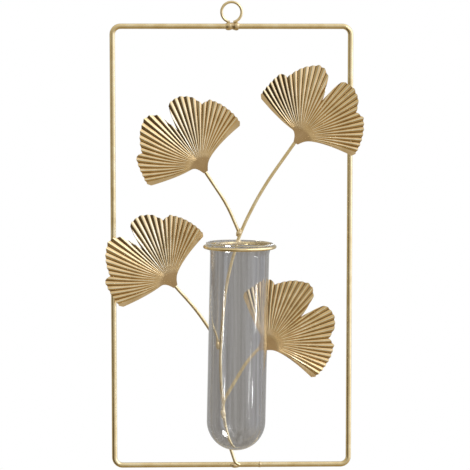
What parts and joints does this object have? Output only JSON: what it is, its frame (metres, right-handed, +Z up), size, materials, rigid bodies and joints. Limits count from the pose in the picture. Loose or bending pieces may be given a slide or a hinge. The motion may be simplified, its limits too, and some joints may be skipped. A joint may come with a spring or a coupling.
{
  "type": "wall flower tube holder",
  "caption": "Flat wall frame of bent wire with pressed ginkgo leaves on wire stems and a glass flower tube hanging by its lip in a wire ring.",
  "frame": {"origin": "centre of the hanging ring, where the nail or hook goes", "axes": "+X to the right as seen from the room, +Y towards the wall, +Z up"},
  "size_m": [0.1735, 0.0527, 0.3154],
  "materials": {
    "frame_wire": "antique gold, satin with darker patches",
    "stem_wire": "antique gold, satin",
    "leaf_sheet": "antique gold, brighter on the ridges",
    "weld": "antique gold over rough weld",
    "glass": "clear, slightly grey"
  },
  "bodies": {
    "frame_body": {"wire_frame": "frame_wire", "frame_butt_weld": "weld", "hanging_ring": "stem_wire", "hanging_ring_weld": "weld", "main_stem": "stem_wire", "upper_left_stem": "stem_wire", "lower_left_stem": "stem_wire", "lower_right_stem": "stem_wire", "upper_left_leaf": "leaf_sheet", "upper_left_leaf_weld": "weld", "upper_right_leaf": "leaf_sheet", "upper_right_leaf_weld": "weld", "lower_left_leaf": "leaf_sheet", "lower_left_leaf_weld": "weld", "lower_right_leaf": "leaf_sheet", "lower_right_leaf_weld": "weld", "left_bar_tack_weld": "weld", "right_bar_tack_weld": "weld", "tube_ring": "stem_wire", "tube_ring_weld": "weld", "upper_fork_weld": "weld", "lower_left_branch_weld": "weld", "lower_right_branch_weld": "weld", "stem_foot_weld": "weld"},
    "tube": {"glass_tube": "glass"}
  },
  "joints": [
    {"name": "tube_lift", "type": "slide", "parent": "frame_body", "child": "tube", "axis": [0.0209, 0, 0.9998], "range_m": [0, 0.138]}
  ]
}
